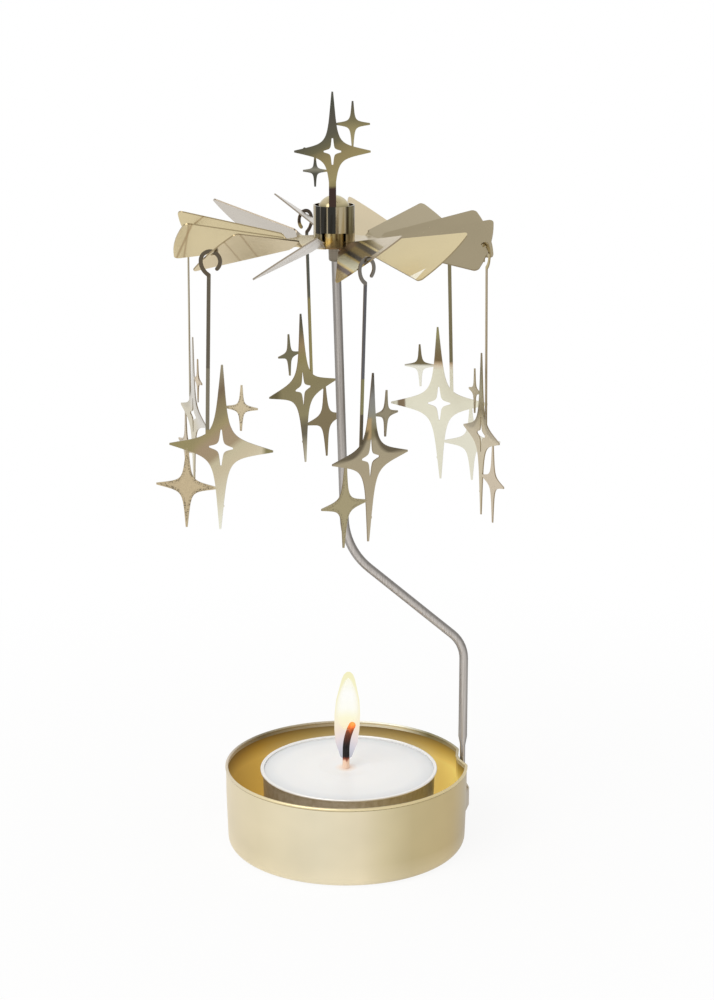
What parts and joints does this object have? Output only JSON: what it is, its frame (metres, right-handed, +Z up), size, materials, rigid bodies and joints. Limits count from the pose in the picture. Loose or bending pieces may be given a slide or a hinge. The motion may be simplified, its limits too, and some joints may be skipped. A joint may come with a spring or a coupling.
{
  "type": "rotary tealight candle holder",
  "caption": "Rotary tealight holder: a candle cup carries a bent wire, on whose point a bladed wheel spins with a star topper and hanging star pendants.",
  "frame": {"origin": "centre of the cup's underside, on the surface that it stands on", "axes": "+Z up along the stand, -Y to the front, +X to the right, towards the wire's socket"},
  "size_m": [0.0719, 0.0817, 0.1626],
  "materials": {
    "cup_sheet": "satin pale gold plated steel sheet, brighter gold inside",
    "wheel_sheet": "polished pale gold sheet",
    "topper_sheet": "polished brass sheet",
    "pendant_sheet": "polished pale gold sheet",
    "cap": "polished drawn thimble",
    "wire": "drawn satin steel wire",
    "sleeve": "pale turned sleeve",
    "needle": "ground steel pin",
    "tealight_foil": "thin pressed foil shell",
    "wax": "white paraffin wax, slightly translucent",
    "tin": "thin tin",
    "wick": "burnt cotton braid"
  },
  "bodies": {
    "stand": {"candle_cup": "cup_sheet", "stand_wire": "wire", "pivot_sleeve": "sleeve", "pivot_needle": "needle"},
    "tealight": {"tealight_shell": "tealight_foil", "tealight_wax": "wax", "wick_sustainer": "tin", "wick": "wick"},
    "rotor": {"rotor_wheel": "wheel_sheet", "bearing_cap": "cap", "topper_star": "topper_sheet"},
    "pendant_1": {"pendant_1": "pendant_sheet"},
    "pendant_2": {"pendant_2": "pendant_sheet"},
    "pendant_3": {"pendant_3": "pendant_sheet"},
    "pendant_4": {"pendant_4": "pendant_sheet"},
    "pendant_5": {"pendant_5": "pendant_sheet"},
    "pendant_6": {"pendant_6": "pendant_sheet"}
  },
  "joints": [
    {"name": "rotor_spin", "type": "hinge", "parent": "stand", "child": "rotor", "pos_m": [-0.0024, 0, 0.1411], "axis": [0, 0, 1], "continuous": true},
    {"name": "tealight_lift", "type": "slide", "parent": "stand", "child": "tealight", "axis": [0, 0, 1], "range_m": [0, 0.022]},
    {"name": "pendant_1_swing", "type": "hinge", "parent": "rotor", "child": "pendant_1", "pos_m": [0.00417, -0.03152, 0.13132], "axis": [-0.7218, 0.6921, 0], "range_deg": [-20, 20]},
    {"name": "pendant_2_swing", "type": "hinge", "parent": "rotor", "child": "pendant_2", "pos_m": [0.02821, -0.01009, 0.13089], "axis": [-0.9578, -0.2874, 0], "range_deg": [-20, 20]},
    {"name": "pendant_3_swing", "type": "hinge", "parent": "rotor", "child": "pendant_3", "pos_m": [0.02168, 0.02147, 0.13062], "axis": [-0.2181, -0.9759, 0], "range_deg": [-20, 20]},
    {"name": "pendant_4_swing", "type": "hinge", "parent": "rotor", "child": "pendant_4", "pos_m": [-0.00898, 0.03151, 0.13204], "axis": [0.7431, -0.6691, 0], "range_deg": [-20, 20]},
    {"name": "pendant_5_swing", "type": "hinge", "parent": "rotor", "child": "pendant_5", "pos_m": [-0.03297, 0.00992, 0.13104], "axis": [0.9505, 0.3107, 0], "range_deg": [-20, 20]},
    {"name": "pendant_6_swing", "type": "hinge", "parent": "rotor", "child": "pendant_6", "pos_m": [-0.02642, -0.02149, 0.13121], "axis": [0.1994, 0.9799, 0], "range_deg": [-20, 20]}
  ]
}
